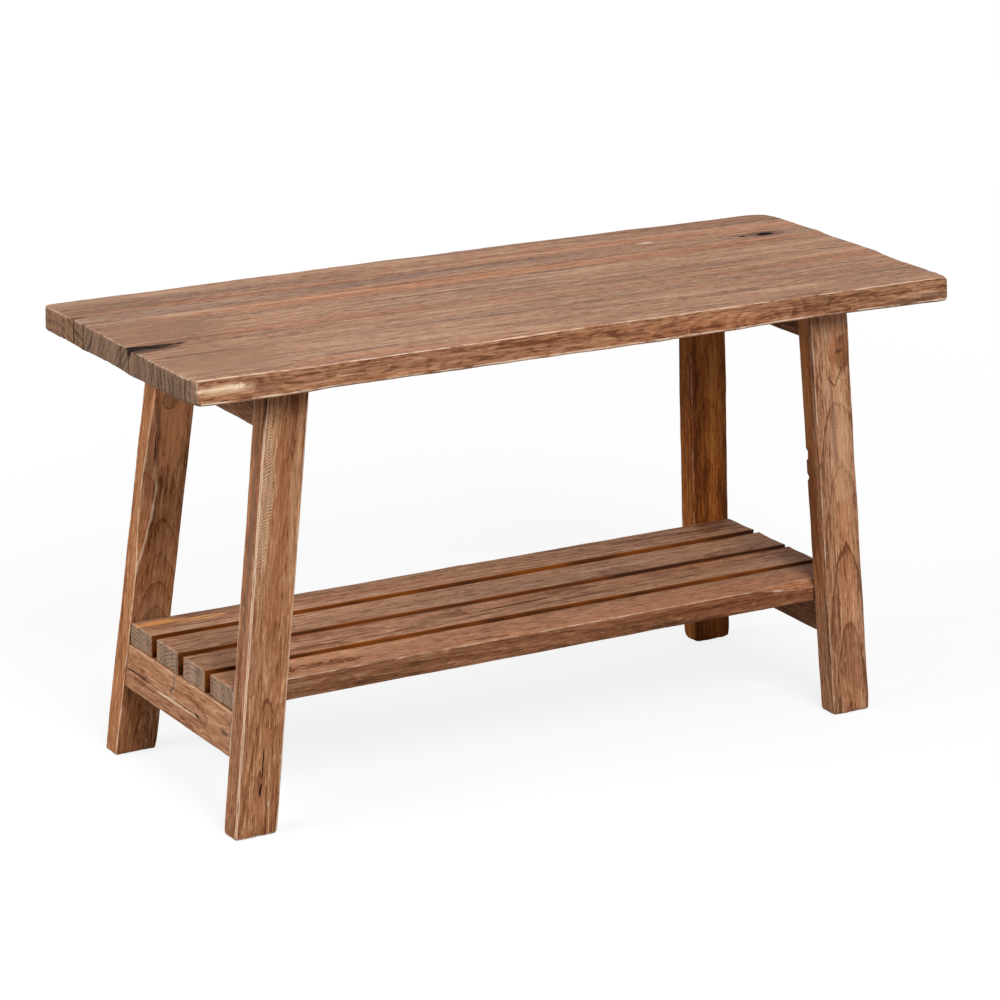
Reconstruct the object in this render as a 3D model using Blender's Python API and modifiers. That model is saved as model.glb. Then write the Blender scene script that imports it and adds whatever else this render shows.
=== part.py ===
"""Rustic shoe storage bench: a three-board top on two splayed end frames, with a slatted shoe shelf.

Metres, +Z up. +X runs along the length, +Y to the back. The origin is on the floor under the middle of
the top. The boards have natural edges, the legs splay both ways and are cut level at the foot and under
the top, and the rails are tenoned into the legs.
"""
import math

import bmesh
import bpy
from mathutils import Matrix, Vector

# Top: three boards, edge joined with dowels
TOP_LENGTH = 0.860
BENCH_HEIGHT = 0.4605
TOP_THICKNESS = 0.025
BACK_BOARD_WIDTH = 0.091
MIDDLE_BOARD_WIDTH = 0.096
FRONT_BOARD_WIDTH = 0.1284
TOP_ARRIS = 0.0026
JOINT_ARRIS = 0.0006

# Natural edge of the top: how far the outer edges and the sawn ends draw in from their furthest point
FRONT_EDGE_DRAW = 0.0036
FRONT_EDGE_WAVE = 0.62
FRONT_EDGE_CREST_X = -0.265
BACK_EDGE_DRAW = 0.0065
BACK_EDGE_WAVE = 1.30
BACK_EDGE_CREST_X = 0.212
END_DRAW = 0.0018
END_WAVE = 0.40

# Corners of the top in plan, worn round
CORNER_FRONT_LEFT = 0.006
CORNER_FRONT_RIGHT = 0.009
CORNER_BACK_LEFT = 0.007
CORNER_BACK_RIGHT = 0.026

# Faults in the old timber of the top: an opened joint at the left end and a knot hole
SPLIT_LENGTH = 0.070
SPLIT_WIDTH = 0.010
SPLIT_DEPTH = 0.008
KNOT_LENGTH = 0.021
KNOT_WIDTH = 0.0090
KNOT_DEPTH = 0.007
KNOT_FROM_RIGHT_END = 0.0630
KNOT_FROM_JOINT = 0.0095

# Legs: flat stock, splayed along and across the bench
LEG_WIDTH = 0.0454
LEG_THICKNESS = 0.0240
LEG_SPLAY_ALONG = math.radians(5.68)
LEG_SPLAY_ACROSS = math.radians(2.58)
LEG_SETBACK_END = 0.1004
LEG_SETBACK_SIDE = 0.0399
LEG_ARRIS = 0.0020
FOOT_ROUND = 0.0036

# Waney edge left on the back left leg, a facet that swells and dies out again
WANE_ON_FACE = 0.0130
WANE_ON_SIDE = 0.0075
WANE_BELOW_TOP = 0.048
WANE_LENGTH = 0.220

# Rails between the legs
RAIL_THICKNESS = 0.0240
UPPER_RAIL_HEIGHT = 0.0440
LOWER_RAIL_HEIGHT = 0.0437
RAIL_FACE_INSET = 0.0008
RAIL_ARRIS = 0.0016
TENON_LENGTH = 0.0140
TENON_THICKNESS = 0.0100
TENON_SHOULDER = 0.0080

# Shelf slats
SHELF_HEIGHT = 0.1410
SLAT_COUNT = 4
SLAT_THICKNESS = 0.0225
SLAT_GAP = 0.0088
SLAT_END_INSET = 0.0015
SLAT_LEG_CLEARANCE = 0.0008
SLAT_ARRIS = 0.0017
SLAT_EDGE_DRAW = 0.0011
SLAT_EDGE_WAVE = 0.37

# Fasteners and plug
SCREW_SHANK_DIAMETER = 0.0042
SCREW_HEAD_DIAMETER = 0.0084
SCREW_HEAD_HEIGHT = 0.0026
SCREW_LENGTH = 0.0350
SCREW_POINT_LENGTH = 0.0060
COUNTERBORE_DIAMETER = 0.0100
TOP_SCREW_BITE = 0.0150
SLAT_SCREW_BITE = 0.0140
DOWEL_DIAMETER = 0.0080
DOWEL_LENGTH = 0.0360
DOWEL_CHAMFER = 0.0010
DOWEL_FROM_END = 0.1215
DOWELS_PER_JOINT = 3
PLUG_DIAMETER = 0.0162
PLUG_DEPTH = 0.0080
PLUG_BELOW_TOP = 0.0718
PLUG_FROM_EDGE = 0.0182
FIT_GAP = 0.0003

# How finely the pieces are drawn
BOARD_CUTS = 17
SLAT_CUTS = 13
WANE_CUTS = 11
CORNER_STEPS = 4
ARRIS_STEPS = 2
ROUND_SIDES = 16
ARRIS_ANGLE = math.radians(40)
MERGE_DISTANCE = 0.00001

# Places that follow from the sizes above
TOP_DEPTH = BACK_BOARD_WIDTH + MIDDLE_BOARD_WIDTH + FRONT_BOARD_WIDTH + 2 * FIT_GAP
UNDERSIDE = BENCH_HEIGHT - TOP_THICKNESS
SLOPE_ALONG = math.tan(LEG_SPLAY_ALONG)
SLOPE_ACROSS = math.tan(LEG_SPLAY_ACROSS)
FOOT_X = TOP_LENGTH / 2 - LEG_SETBACK_END + SLOPE_ALONG * UNDERSIDE
FOOT_Y = TOP_DEPTH / 2 - LEG_SETBACK_SIDE + SLOPE_ACROSS * UNDERSIDE
LEG_TOP = UNDERSIDE - FIT_GAP
UPPER_RAIL_TOP = UNDERSIDE - FIT_GAP
UPPER_RAIL_BOTTOM = UPPER_RAIL_TOP - UPPER_RAIL_HEIGHT
SLAT_BOTTOM = SHELF_HEIGHT - SLAT_THICKNESS
LOWER_RAIL_TOP = SLAT_BOTTOM - FIT_GAP
LOWER_RAIL_BOTTOM = LOWER_RAIL_TOP - LOWER_RAIL_HEIGHT
RAIL_MIDDLE = RAIL_FACE_INSET + RAIL_THICKNESS / 2
JOINT_BACK_Y = TOP_DEPTH / 2 - BACK_BOARD_WIDTH
JOINT_FRONT_Y = FRONT_BOARD_WIDTH - TOP_DEPTH / 2
SIDES = {"left": -1, "right": 1}
ROWS = {"front": -1, "back": 1}


def in_frame(side, row, inward_x, inward_y, z):
    """A point of an end frame, measured inward from the outer faces of a splayed leg at height z."""
    x = side * (FOOT_X - SLOPE_ALONG * z - inward_x)
    y = row * (FOOT_Y - SLOPE_ACROSS * z - inward_y)
    return Vector((x, y, z))


def collection(name):
    group = bpy.data.collections.new(name)
    bpy.context.scene.collection.children.link(group)
    return group


def material(name, color, roughness, metallic=0.0):
    finish = bpy.data.materials.new(name)
    finish.use_nodes = True
    shader = finish.node_tree.nodes["Principled BSDF"]
    shader.inputs["Base Color"].default_value = (*color, 1.0)
    shader.inputs["Roughness"].default_value = roughness
    shader.inputs["Metallic"].default_value = metallic
    finish.diffuse_color = (*color, 1.0)
    return finish


for old in list(bpy.data.objects):
    bpy.data.objects.remove(old, do_unlink=True)

PARTS = collection("shoe_storage_bench")
CUTTERS = collection("bench_cutters")
TOP_WOOD = material("brushed_wood_top", (0.34, 0.20, 0.12), 0.62)
LEG_WOOD = material("brushed_wood_legs", (0.30, 0.165, 0.085), 0.62)
RAIL_WOOD = material("brushed_wood_rails", (0.24, 0.13, 0.07), 0.66)
SLAT_WOOD = material("brushed_wood_slats", (0.27, 0.14, 0.07), 0.64)
PLUG_WOOD = material("plug_wood", (0.33, 0.18, 0.09), 0.60)
DOWEL_WOOD = material("dowel_wood", (0.55, 0.42, 0.27), 0.70)
SCREW_STEEL = material("zinc_screw", (0.62, 0.60, 0.55), 0.38, 1.0)


def face_outward(bm):
    """Turn a closed shape's faces outward, as a shape made for the other hand comes out reversed."""
    bm.normal_update()
    if bm.calc_volume(signed=True) < 0.0:
        bmesh.ops.reverse_faces(bm, faces=bm.faces)


def finish_object(name, bm, finish=None):
    """Turn a bmesh into a named part, or into a hidden cutter when it has no finish."""
    face_outward(bm)
    mesh = bpy.data.meshes.new(name)
    bm.to_mesh(mesh)
    bm.free()
    obj = bpy.data.objects.new(name, mesh)
    if finish is None:
        CUTTERS.objects.link(obj)
        obj.hide_render = True
        obj.display_type = "WIRE"
    else:
        PARTS.objects.link(obj)
        mesh.materials.append(finish)
    return obj


def block(cuts_along=None, cuts=0):
    """A unit cube, cut across one of its axes so that its long edges can be shaped."""
    bm = bmesh.new()
    bmesh.ops.create_cube(bm, size=1.0)
    if cuts_along is not None:
        long_edges = [
            e for e in bm.edges if abs(e.verts[0].co[cuts_along] - e.verts[1].co[cuts_along]) > 0.5]
        bmesh.ops.subdivide_edges(bm, edges=long_edges, cuts=cuts, use_grid_fill=True)
    return bm


def between(low, high, share):
    """A value between two limits, with the share running from -0.5 to 0.5 as on the unit cube."""
    return low + (high - low) * (share + 0.5)


def ease_edges(obj, width, by_weight=False):
    """Rub down the arrises with a small round."""
    bevel = obj.modifiers.new("eased_edges", "BEVEL")
    bevel.width = width
    bevel.segments = ARRIS_STEPS
    bevel.limit_method = "WEIGHT" if by_weight else "ANGLE"
    bevel.angle_limit = ARRIS_ANGLE


def combine(obj, other, operation):
    boolean = obj.modifiers.new(f"{operation.lower()}_{other.name}", "BOOLEAN")
    boolean.operation = operation
    boolean.solver = "EXACT"
    boolean.object = other


def turned(name, profile, place, finish=None):
    """A turned shape: a profile of (radius, height) from top to bottom, spun about Z and put at place."""
    mesh = bpy.data.meshes.new(name)
    points = [(radius, 0.0, height) for radius, height in profile]
    mesh.from_pydata(points, [(i, i + 1) for i in range(len(points) - 1)], [])
    obj = bpy.data.objects.new(name, mesh)
    obj.location = place
    (PARTS if finish else CUTTERS).objects.link(obj)
    if finish:
        mesh.materials.append(finish)
    else:
        obj.hide_render = True
        obj.display_type = "WIRE"
    spin = obj.modifiers.new("spin", "SCREW")
    spin.axis = "Z"
    spin.steps = ROUND_SIDES
    spin.render_steps = ROUND_SIDES
    spin.use_merge_vertices = True
    spin.merge_threshold = MERGE_DISTANCE
    spin.use_smooth_shade = True
    return obj


def rod(name, diameter, length, chamfer, place, direction, finish=None):
    """A round peg along a direction, centred on place."""
    bm = bmesh.new()
    bmesh.ops.create_cone(
        bm, cap_ends=True, segments=ROUND_SIDES, radius1=diameter / 2, radius2=diameter / 2, depth=length)
    if chamfer:
        rims = [e for e in bm.edges if abs(e.verts[0].co.z - e.verts[1].co.z) < length / 2]
        bmesh.ops.bevel(bm, geom=rims, offset=chamfer, segments=1, affect="EDGES")
    turn = Vector((0, 0, 1)).rotation_difference(direction).to_matrix().to_4x4()
    bmesh.ops.transform(bm, matrix=Matrix.Translation(place) @ turn, verts=bm.verts)
    return finish_object(name, bm, finish)


def draw_in(along, crest, wave, depth):
    """How far a natural edge lies behind its furthest point, which it reaches at crest."""
    return depth * 0.5 * (1.0 - math.cos(2 * math.pi * (along - crest) / wave))


def top_board(name, back_y, front_y, outer_edges, corners):
    """One board of the top, with natural outer edges, sawn ends and worn corners."""
    bm = block(0, BOARD_CUTS)
    half = TOP_LENGTH / 2
    for vert in bm.verts:
        x, y, z = vert.co
        across = between(front_y, back_y, y)
        along = x * TOP_LENGTH
        if "front" in outer_edges and y < 0:
            across += draw_in(along, FRONT_EDGE_CREST_X, FRONT_EDGE_WAVE, FRONT_EDGE_DRAW)
        if "back" in outer_edges and y > 0:
            across -= draw_in(along, BACK_EDGE_CREST_X, BACK_EDGE_WAVE, BACK_EDGE_DRAW)
        if abs(abs(along) - half) < FIT_GAP:
            along -= math.copysign(draw_in(across, JOINT_FRONT_Y, END_WAVE, END_DRAW), along)
        vert.co = (along, across, between(UNDERSIDE, BENCH_HEIGHT, z))
    for (side, row), radius in corners.items():
        uprights = [
            e for e in bm.edges
            if all(v.co.x * side > half - 2 * END_DRAW for v in e.verts)
            and all((v.co.y - (front_y + back_y) / 2) * row > 0 for v in e.verts)
            and abs(e.verts[0].co.z - e.verts[1].co.z) > TOP_THICKNESS / 2]
        bmesh.ops.bevel(
            bm, geom=uprights, offset=radius, segments=CORNER_STEPS, profile=0.5, affect="EDGES",
            clamp_overlap=True)
    face_outward(bm)
    weights = bm.edges.layers.float.new("bevel_weight_edge")
    for edge in bm.edges:
        if edge.calc_face_angle() > ARRIS_ANGLE:
            on_joint = any(
                all(abs(v.co.y - joint_y) < 2 * FIT_GAP for v in edge.verts)
                for joint_y in (JOINT_BACK_Y, JOINT_FRONT_Y))
            edge[weights] = JOINT_ARRIS / TOP_ARRIS if on_joint else 1.0
    board = finish_object(name, bm, TOP_WOOD)
    ease_edges(board, TOP_ARRIS, by_weight=True)
    return board


board_back = top_board(
    "top_board_back", TOP_DEPTH / 2, JOINT_BACK_Y, {"back"},
    {(-1, 1): CORNER_BACK_LEFT, (1, 1): CORNER_BACK_RIGHT})
board_middle = top_board("top_board_middle", JOINT_BACK_Y - FIT_GAP, JOINT_FRONT_Y + FIT_GAP, set(), {})
board_front = top_board(
    "top_board_front", JOINT_FRONT_Y, -TOP_DEPTH / 2, {"front"},
    {(-1, -1): CORNER_FRONT_LEFT, (1, -1): CORNER_FRONT_RIGHT})

# The opened joint at the left end: a wedge that narrows and rises away from the end. It stands as high
# above the surface as it goes below it, so it is twice as wide at its top as the opening is
split = block()
for corner in split.verts:
    share = corner.co.x + 0.5
    width = 2 * SPLIT_WIDTH * (1.0 - share) if corner.co.z > 0 else 2 * FIT_GAP
    depth = SPLIT_DEPTH * (1.0 - share) + FIT_GAP
    corner.co = (
        -TOP_LENGTH / 2 - SPLIT_WIDTH + share * (SPLIT_LENGTH + SPLIT_WIDTH),
        JOINT_FRONT_Y + corner.co.y * width,
        BENCH_HEIGHT + math.copysign(depth, corner.co.z))
bmesh.ops.remove_doubles(split, verts=split.verts, dist=MERGE_DISTANCE)
split_cutter = finish_object("opened_joint_cutter", split)
combine(board_middle, split_cutter, "DIFFERENCE")
combine(board_front, split_cutter, "DIFFERENCE")

# The knot hole in the back board: a shallow lens
knot = bmesh.new()
bmesh.ops.create_uvsphere(knot, u_segments=ROUND_SIDES, v_segments=ROUND_SIDES // 2, radius=0.5)
knot_place = Vector(
    (TOP_LENGTH / 2 - KNOT_FROM_RIGHT_END, JOINT_BACK_Y + KNOT_FROM_JOINT, BENCH_HEIGHT))
bmesh.ops.transform(
    knot, verts=knot.verts,
    matrix=Matrix.Translation(knot_place) @ Matrix.Diagonal((KNOT_LENGTH, KNOT_WIDTH, 2 * KNOT_DEPTH, 1.0)))
combine(board_back, finish_object("knot_hole_cutter", knot), "DIFFERENCE")

# Dowels across the two joints of the top
dowel_z = UNDERSIDE + TOP_THICKNESS / 2
dowel_line = Vector((0, 1, 0))
dowel_spacing = (TOP_LENGTH - 2 * DOWEL_FROM_END) / (DOWELS_PER_JOINT - 1)
for joint, joint_y, boards in (
        ("back", JOINT_BACK_Y, (board_back, board_middle)),
        ("front", JOINT_FRONT_Y, (board_middle, board_front))):
    for index in range(DOWELS_PER_JOINT):
        spot = Vector((DOWEL_FROM_END - TOP_LENGTH / 2 + index * dowel_spacing, joint_y, dowel_z))
        name = f"edge_dowel_{joint}_{index + 1}"
        rod(name, DOWEL_DIAMETER, DOWEL_LENGTH, DOWEL_CHAMFER, spot, dowel_line, DOWEL_WOOD)
        hole = rod(
            f"{name}_hole", DOWEL_DIAMETER + 2 * FIT_GAP, DOWEL_LENGTH + 2 * FIT_GAP, 0.0, spot, dowel_line)
        for board in boards:
            combine(board, hole, "DIFFERENCE")


def frame_block(side, row, inward_x, inward_y, heights):
    """A block in an end frame, between two distances inward each way and two heights."""
    bm = block()
    for vert in bm.verts:
        x, y, z = vert.co
        vert.co = in_frame(side, row, between(*inward_x, x), between(*inward_y, y), between(*heights, z))
    face_outward(bm)
    return bm


def waney_edge(name, side, row):
    """A cutter for the natural edge of a leg: a facet across the outer corner that faces inward."""
    bm = block(2, WANE_CUTS)
    corner = Vector((0.0, LEG_THICKNESS))
    away = Vector((-WANE_ON_SIDE, WANE_ON_SIDE))
    for vert in bm.verts:
        swell = math.cos(math.pi * vert.co.z) ** 2
        on_face = corner + Vector((WANE_ON_FACE, 0.0)) * swell
        on_side = corner - Vector((0.0, WANE_ON_SIDE)) * swell
        chord = on_face - on_side
        spot = (on_face + chord) if vert.co.x > 0 else (on_side - chord)
        if vert.co.y > 0:
            spot = spot + away
        height = UNDERSIDE - WANE_BELOW_TOP - WANE_LENGTH * (0.5 - vert.co.z)
        vert.co = in_frame(side, row, spot.x, spot.y, height)
    bmesh.ops.remove_doubles(bm, verts=bm.verts, dist=MERGE_DISTANCE)
    return finish_object(name, bm)


def leg(name, side, row):
    """A splayed leg, level at foot and top, with a rounded foot."""
    bm = frame_block(side, row, (0.0, LEG_WIDTH), (0.0, LEG_THICKNESS), (0.0, LEG_TOP))
    foot_edges = [e for e in bm.edges if all(v.co.z < FOOT_ROUND / 2 for v in e.verts)]
    bmesh.ops.bevel(bm, geom=foot_edges, offset=FOOT_ROUND, segments=ARRIS_STEPS, profile=0.5, affect="EDGES")
    obj = finish_object(name, bm, LEG_WOOD)
    ease_edges(obj, LEG_ARRIS)
    return obj


def tenon(name, side, row, heights, clearance):
    """The tenon of a rail, or its mortise when grown by a clearance, with its root inside the rail."""
    half = TENON_THICKNESS / 2 + clearance
    tip = LEG_THICKNESS - TENON_LENGTH - clearance
    root = LEG_THICKNESS + TENON_LENGTH
    low, high = heights[0] + TENON_SHOULDER - clearance, heights[1] - TENON_SHOULDER + clearance
    return finish_object(name, frame_block(
        side, row, (RAIL_MIDDLE - half, RAIL_MIDDLE + half), (tip, root), (low, high)))


def rail(name, side, heights):
    """A rail between the two legs of an end frame, its shoulders cut to the splay of the legs."""
    bm = block()
    for vert in bm.verts:
        x, y, z = vert.co
        inward_x = between(RAIL_FACE_INSET, RAIL_FACE_INSET + RAIL_THICKNESS, x)
        vert.co = in_frame(
            side, math.copysign(1, y), inward_x, LEG_THICKNESS + FIT_GAP, between(*heights, z))
    obj = finish_object(name, bm, RAIL_WOOD)
    ease_edges(obj, RAIL_ARRIS)
    return obj


legs = {(side, row): leg(f"leg_{row}_{side}", SIDES[side], ROWS[row]) for side in SIDES for row in ROWS}
rails = {}
for level, heights in {
        "upper": (UPPER_RAIL_BOTTOM, UPPER_RAIL_TOP),
        "lower": (LOWER_RAIL_BOTTOM, LOWER_RAIL_TOP)}.items():
    for side in SIDES:
        name = f"{level}_rail_{side}"
        rails[level, side] = rail(name, SIDES[side], heights)
        for row in ROWS:
            stub = tenon(f"{name}_{row}_tenon", SIDES[side], ROWS[row], heights, 0.0)
            combine(rails[level, side], stub, "UNION")
            mortise = tenon(f"{name}_{row}_mortise", SIDES[side], ROWS[row], heights, FIT_GAP)
            combine(legs[side, row], mortise, "DIFFERENCE")

# The back left leg keeps a waney edge, and a round plug fills an old bolt hole in its inner face
plug_leg = legs["left", "back"]
combine(plug_leg, waney_edge("leg_wane_cutter", SIDES["left"], ROWS["back"]), "DIFFERENCE")
plug_z = UNDERSIDE - PLUG_BELOW_TOP
face_normal = Vector((0, -1, -SLOPE_ACROSS)).normalized()
face_spot = in_frame(SIDES["left"], ROWS["back"], PLUG_FROM_EDGE, LEG_THICKNESS, plug_z)
plug_spot = face_spot - face_normal * PLUG_DEPTH / 2
rod("leg_plug", PLUG_DIAMETER, PLUG_DEPTH, 0.0, plug_spot, face_normal, PLUG_WOOD)
plug_hole_depth = 2 * (PLUG_DEPTH + FIT_GAP)
plug_hole = rod("leg_plug_hole", PLUG_DIAMETER + 2 * FIT_GAP, plug_hole_depth, 0.0, face_spot, face_normal)
combine(plug_leg, plug_hole, "DIFFERENCE")

# Shelf slats, laid across the lower rails and fitted between the legs
slat_span = 2 * (FOOT_Y - SLOPE_ACROSS * SHELF_HEIGHT - LEG_THICKNESS - SLAT_LEG_CLEARANCE)
slat_width = (slat_span - (SLAT_COUNT - 1) * SLAT_GAP) / SLAT_COUNT
slat_half_length = FOOT_X - SLOPE_ALONG * LOWER_RAIL_TOP - RAIL_FACE_INSET - SLAT_END_INSET
slat_length = 2 * slat_half_length


def shelf_slat(name, middle_y, crest):
    """One slat with gently waving natural edges."""
    bm = block(0, SLAT_CUTS)
    for vert in bm.verts:
        x, y, z = vert.co
        along = x * slat_length
        drawn = draw_in(along, crest * math.copysign(1, y), SLAT_EDGE_WAVE, SLAT_EDGE_DRAW)
        across = middle_y + y * slat_width - math.copysign(drawn, y)
        vert.co = (along, across, between(SLAT_BOTTOM, SHELF_HEIGHT, z))
    obj = finish_object(name, bm, SLAT_WOOD)
    ease_edges(obj, SLAT_ARRIS)
    return obj


slats = []
for index in range(SLAT_COUNT):
    middle = slat_span / 2 - slat_width / 2 - index * (slat_width + SLAT_GAP)
    slat = shelf_slat(f"shelf_slat_{index + 1}", middle, SLAT_EDGE_WAVE * index / SLAT_COUNT)
    slats.append((slat, middle))


def driven_screw(name, side, y, rail_heights, bite, rail_obj, carried):
    """A screw driven up through a rail into the piece above, its head sunk in a counterbore."""
    seat = rail_heights[1] + FIT_GAP + bite - SCREW_LENGTH
    middle = (rail_heights[0] + rail_heights[1]) / 2
    place = in_frame(side, 1, RAIL_MIDDLE, 0.0, middle)
    place.y = y
    place.z = seat
    shank = SCREW_SHANK_DIAMETER / 2
    head = SCREW_HEAD_DIAMETER / 2
    crown = SCREW_HEAD_HEIGHT / 4
    turned(name, [
        (0.0, SCREW_LENGTH), (shank, SCREW_LENGTH - SCREW_POINT_LENGTH), (shank, 0.0), (head, 0.0),
        (head, crown - SCREW_HEAD_HEIGHT), (head - crown, -SCREW_HEAD_HEIGHT), (0.0, -SCREW_HEAD_HEIGHT)],
        place, SCREW_STEEL)
    below = rail_heights[0] - seat - COUNTERBORE_DIAMETER
    hole = turned(f"{name}_hole", [
        (0.0, SCREW_LENGTH + FIT_GAP), (shank + FIT_GAP, SCREW_LENGTH + FIT_GAP), (shank + FIT_GAP, FIT_GAP),
        (COUNTERBORE_DIAMETER / 2, FIT_GAP), (COUNTERBORE_DIAMETER / 2, below), (0.0, below)], place)
    combine(rail_obj, hole, "DIFFERENCE")
    combine(carried, hole, "DIFFERENCE")


# Screws: each slat is held at both ends, and each top board by both upper rails
rail_end_y = FOOT_Y - SLOPE_ACROSS * UPPER_RAIL_TOP - LEG_THICKNESS
top_screw_places = (
    ("back", board_back, (JOINT_BACK_Y + rail_end_y) / 2),
    ("middle", board_middle, (JOINT_BACK_Y + JOINT_FRONT_Y) / 2),
    ("front", board_front, (JOINT_FRONT_Y - rail_end_y) / 2))
for side in SIDES:
    for number, (slat, middle) in enumerate(slats, 1):
        driven_screw(
            f"slat_screw_{side}_{number}", SIDES[side], middle, (LOWER_RAIL_BOTTOM, LOWER_RAIL_TOP),
            SLAT_SCREW_BITE, rails["lower", side], slat)
    for label, board, y in top_screw_places:
        driven_screw(
            f"top_screw_{side}_{label}", SIDES[side], y, (UPPER_RAIL_BOTTOM, UPPER_RAIL_TOP),
            TOP_SCREW_BITE, rails["upper", side], board)
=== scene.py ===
"""Finished looks of a rustic shoe storage bench, dressed over its packed construction.

Metres, +Z up, +X along the bench, +Y to the back. Every piece of timber starts as a cube cut into fine
cells, is worn to shape, and gets its own wood from shared recipes of grain, fibre and wear.
"""

import math

import bmesh
import bpy
import numpy as np
from mathutils import Matrix, Vector


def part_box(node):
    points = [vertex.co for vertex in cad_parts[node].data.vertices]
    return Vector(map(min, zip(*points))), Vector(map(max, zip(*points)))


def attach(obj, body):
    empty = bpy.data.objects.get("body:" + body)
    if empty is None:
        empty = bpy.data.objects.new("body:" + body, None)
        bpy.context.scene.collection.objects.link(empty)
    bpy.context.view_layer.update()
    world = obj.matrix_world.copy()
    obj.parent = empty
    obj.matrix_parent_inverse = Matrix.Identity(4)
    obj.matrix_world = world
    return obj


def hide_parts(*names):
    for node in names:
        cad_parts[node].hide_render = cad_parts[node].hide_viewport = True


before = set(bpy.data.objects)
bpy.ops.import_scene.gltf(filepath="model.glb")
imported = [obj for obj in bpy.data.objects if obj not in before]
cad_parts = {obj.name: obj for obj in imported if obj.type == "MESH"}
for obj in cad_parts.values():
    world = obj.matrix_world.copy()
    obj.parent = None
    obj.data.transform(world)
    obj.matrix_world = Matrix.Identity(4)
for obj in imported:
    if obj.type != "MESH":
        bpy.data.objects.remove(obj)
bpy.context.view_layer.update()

# Legs
# Four legs of old flat stock, splayed along and across the bench. They are sawn level at the foot and
# under the top, brushed along the grain, and rubbed pale along their arrises.
LEG_WIDTH = 0.0454
LEG_THICKNESS = 0.0240
LEG_CELLS = ((9, 10), (4, 13), (4, 7))
LEG_ARRIS = 0.0018
FOOT_WEAR = {
    ("left", "front"): 1.9, ("left", "back"): 1.9, ("right", "front"): 1.9, ("right", "back"): 3.0}
LEG_WANE = ((-1, -1), (0.0125, 0.0078), (-0.050, 0.170))
FIT_GAP = 0.0003
SIDES = {"left": -1, "right": 1}
ROWS = {"front": -1, "back": 1}
ALONG = (1, 0, 0)
BACK = (0, 1, 0)
UP = (0, 0, 1)


def rough_block(name, cells):
    """A unit cube, cut into cells along, across and through the grain."""
    bpy.ops.object.select_all(action="DESELECT")
    bpy.ops.mesh.primitive_cube_add(size=1.0)
    piece = bpy.context.object
    piece.name = name
    piece.data.name = name
    bpy.ops.object.mode_set(mode="EDIT")
    bpy.ops.mesh.select_mode(type="EDGE")
    for axis in (2, 1, 0):
        for cuts in cells[axis]:
            bpy.ops.mesh.select_all(action="DESELECT")
            mesh = bmesh.from_edit_mesh(piece.data)
            for edge in mesh.edges:
                start, end = edge.verts
                if abs(start.co[axis] - end.co[axis]) > 0.0001:
                    edge.select_set(True)
            bmesh.update_edit_mesh(piece.data)
            bpy.ops.mesh.subdivide(number_cuts=cuts)
    bpy.ops.object.mode_set(mode="OBJECT")
    return piece


def places(piece):
    """The points of a piece as an array."""
    flat = np.empty(len(piece.data.vertices) * 3, np.float32)
    piece.data.vertices.foreach_get("co", flat)
    return flat.reshape(-1, 3).astype(float)


def drift(points, waves, seed):
    """Smooth wandering about zero, with waves of the given lengths along, across and through."""
    draw = np.random.default_rng(seed)
    total = np.zeros(len(points))
    wave_count = 14
    for _ in range(wave_count):
        turn = draw.normal(size=3) * 2 * math.pi / np.array(waves)
        total += np.sin(points @ turn + draw.uniform(0, 2 * math.pi))
    return total * math.sqrt(2 / wave_count)


def spread(share, cells, half):
    """Where the cell lines lie along one side of a piece: they crowd together towards its arrises."""
    crowd_lines = 5
    crowd = 0.75 * crowd_lines
    line = np.rint((share + 0.5) * cells)
    inward = np.minimum(line, cells - line)
    eased = inward - crowd * (1 - np.exp(-inward / crowd_lines))
    full = cells / 2 - crowd * (1 - math.exp(-cells / 2 / crowd_lines))
    return np.sign(share) * half * (1 - eased / full)


JOINED_ARRIS = 0.0003
END_WEAR_REACH = 0.012
BRUSH_DEPTH = 0.00009
PLANE_DEPTH = 0.00016


def timber(name, size, cells, arris, seed, joined=(), end_wear=(1.0, 1.0)):
    """A worn length of timber about the origin, grain along X, with how near each point is to an arris and
    how far it is onto the end grain. Sides that are joined or lie along a narrow gap keep a sharp arris
    that nothing has rubbed, and an end can be worn rounder than the rest."""
    piece = rough_block(name, cells)
    share = places(piece)
    half = np.array(size) / 2
    counts = [math.prod(cuts + 1 for cuts in passes) for passes in cells]
    box = np.stack([spread(share[:, axis], counts[axis], half[axis]) for axis in range(3)], axis=1)
    inside = half - np.abs(box)
    on_end = np.clip(1 - inside[:, 0] / arris, 0, 1)
    ragged = 0.16 * drift(box, (0.09, 0.05, 0.05), seed) + 0.07 * drift(box, (0.016, 0.012, 0.012), seed + 1)
    radius = arris * np.clip(1 + ragged, 0.4, 1.8)
    for end, wear in zip((-1, 1), end_wear):
        radius *= 1 + (wear - 1) * np.clip(1 - (half[0] - end * box[:, 0]) / END_WEAR_REACH, 0, 1)
    for side in joined:
        nearness = np.clip(0.5 + side * box[:, 1] / size[1], 0, 1) ** 3
        radius += (JOINED_ARRIS - radius) * nearness
        inside[box[:, 1] * side > 0, 1] = 1.0
    to_arris = np.sort(inside, axis=1)[:, 1]
    radius = radius[:, None]
    inner = np.clip(box, radius - half, half - radius)
    outward = box - inner
    outward /= np.linalg.norm(outward, axis=1, keepdims=True)
    brushed = BRUSH_DEPTH * np.clip(1 + 0.6 * drift(box, (0.12, 0.0065, 0.0065), seed + 2), 0, 2.2)
    planed = PLANE_DEPTH * np.clip(1 + 0.6 * drift(box, (0.14, 0.05, 0.05), seed + 3), 0, 2.2)
    points = inner + outward * (radius - (brushed + planed)[:, None])
    return piece, points, to_arris, on_end


NEAREST_ARRIS = 0.0001


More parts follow.
